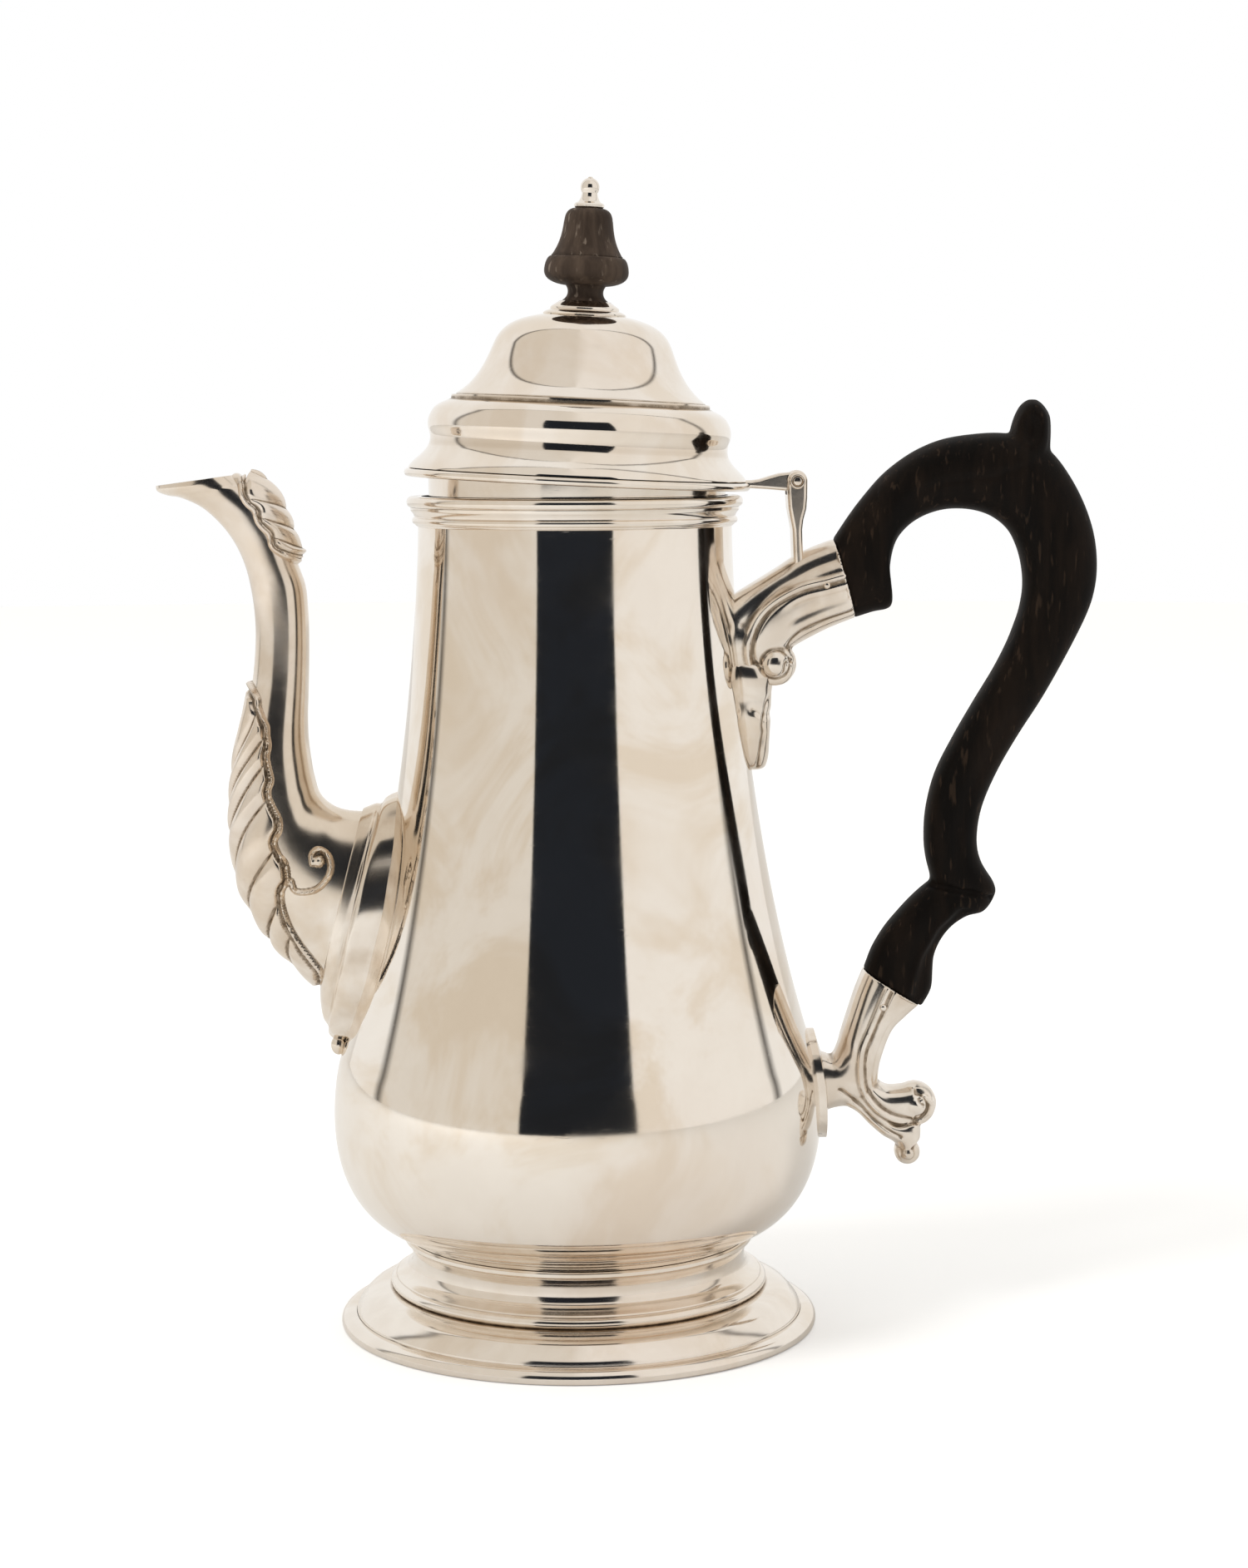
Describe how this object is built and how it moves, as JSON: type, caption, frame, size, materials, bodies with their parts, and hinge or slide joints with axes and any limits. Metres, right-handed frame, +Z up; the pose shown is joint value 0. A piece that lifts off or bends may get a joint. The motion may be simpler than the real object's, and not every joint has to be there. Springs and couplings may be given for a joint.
{
  "type": "coffee pot",
  "caption": "Footed pear-shaped silver coffee pot with a hinged domed lid, curved spout with shell ornament, and a carved wooden scroll handle in two sockets.",
  "frame": {"origin": "centre of the plane that the foot rests on, on the pot's axis", "axes": "+Z up along the pot's axis, +X towards the handle, -X towards the spout, Y across the pot along the lid's hinge pin"},
  "size_m": [0.2057, 0.1082, 0.2527],
  "materials": {
    "silver": "old polished silver, warm, lightly scratched",
    "dark_wood": "dark carved hardwood, dull wax",
    "worn_wood": "turned hardwood, worn and greyed"
  },
  "bodies": {
    "pot": {"body": "silver", "mouth_wire": "silver", "neck_moulding": "silver", "foot_band": "silver", "foot": "silver", "foot_wire": "silver", "spout": "silver", "spout_collar": "silver", "spout_shell": "silver", "spout_leaf": "silver", "spout_pendant": "silver", "upper_socket": "silver", "socket_drop": "silver", "upper_pin": "silver", "handle": "dark_wood", "lower_socket": "silver", "lower_plate": "silver", "lower_pin": "silver", "hinge_post": "silver", "hinge_pin": "silver"},
    "lid": {"hinge_arm": "silver", "lid": "silver", "lid_rim": "silver", "lid_bezel": "silver", "finial_seat": "silver", "finial": "worn_wood", "finial_cap": "silver", "finial_bolt": "silver", "finial_washer": "silver", "finial_nut": "silver"}
  },
  "joints": [
    {"name": "lid_hinge", "type": "hinge", "parent": "pot", "child": "lid", "pos_m": [0.0484, 0, 0.187], "axis": [0, 1, 0], "range_deg": [-2.8, 102]}
  ]
}
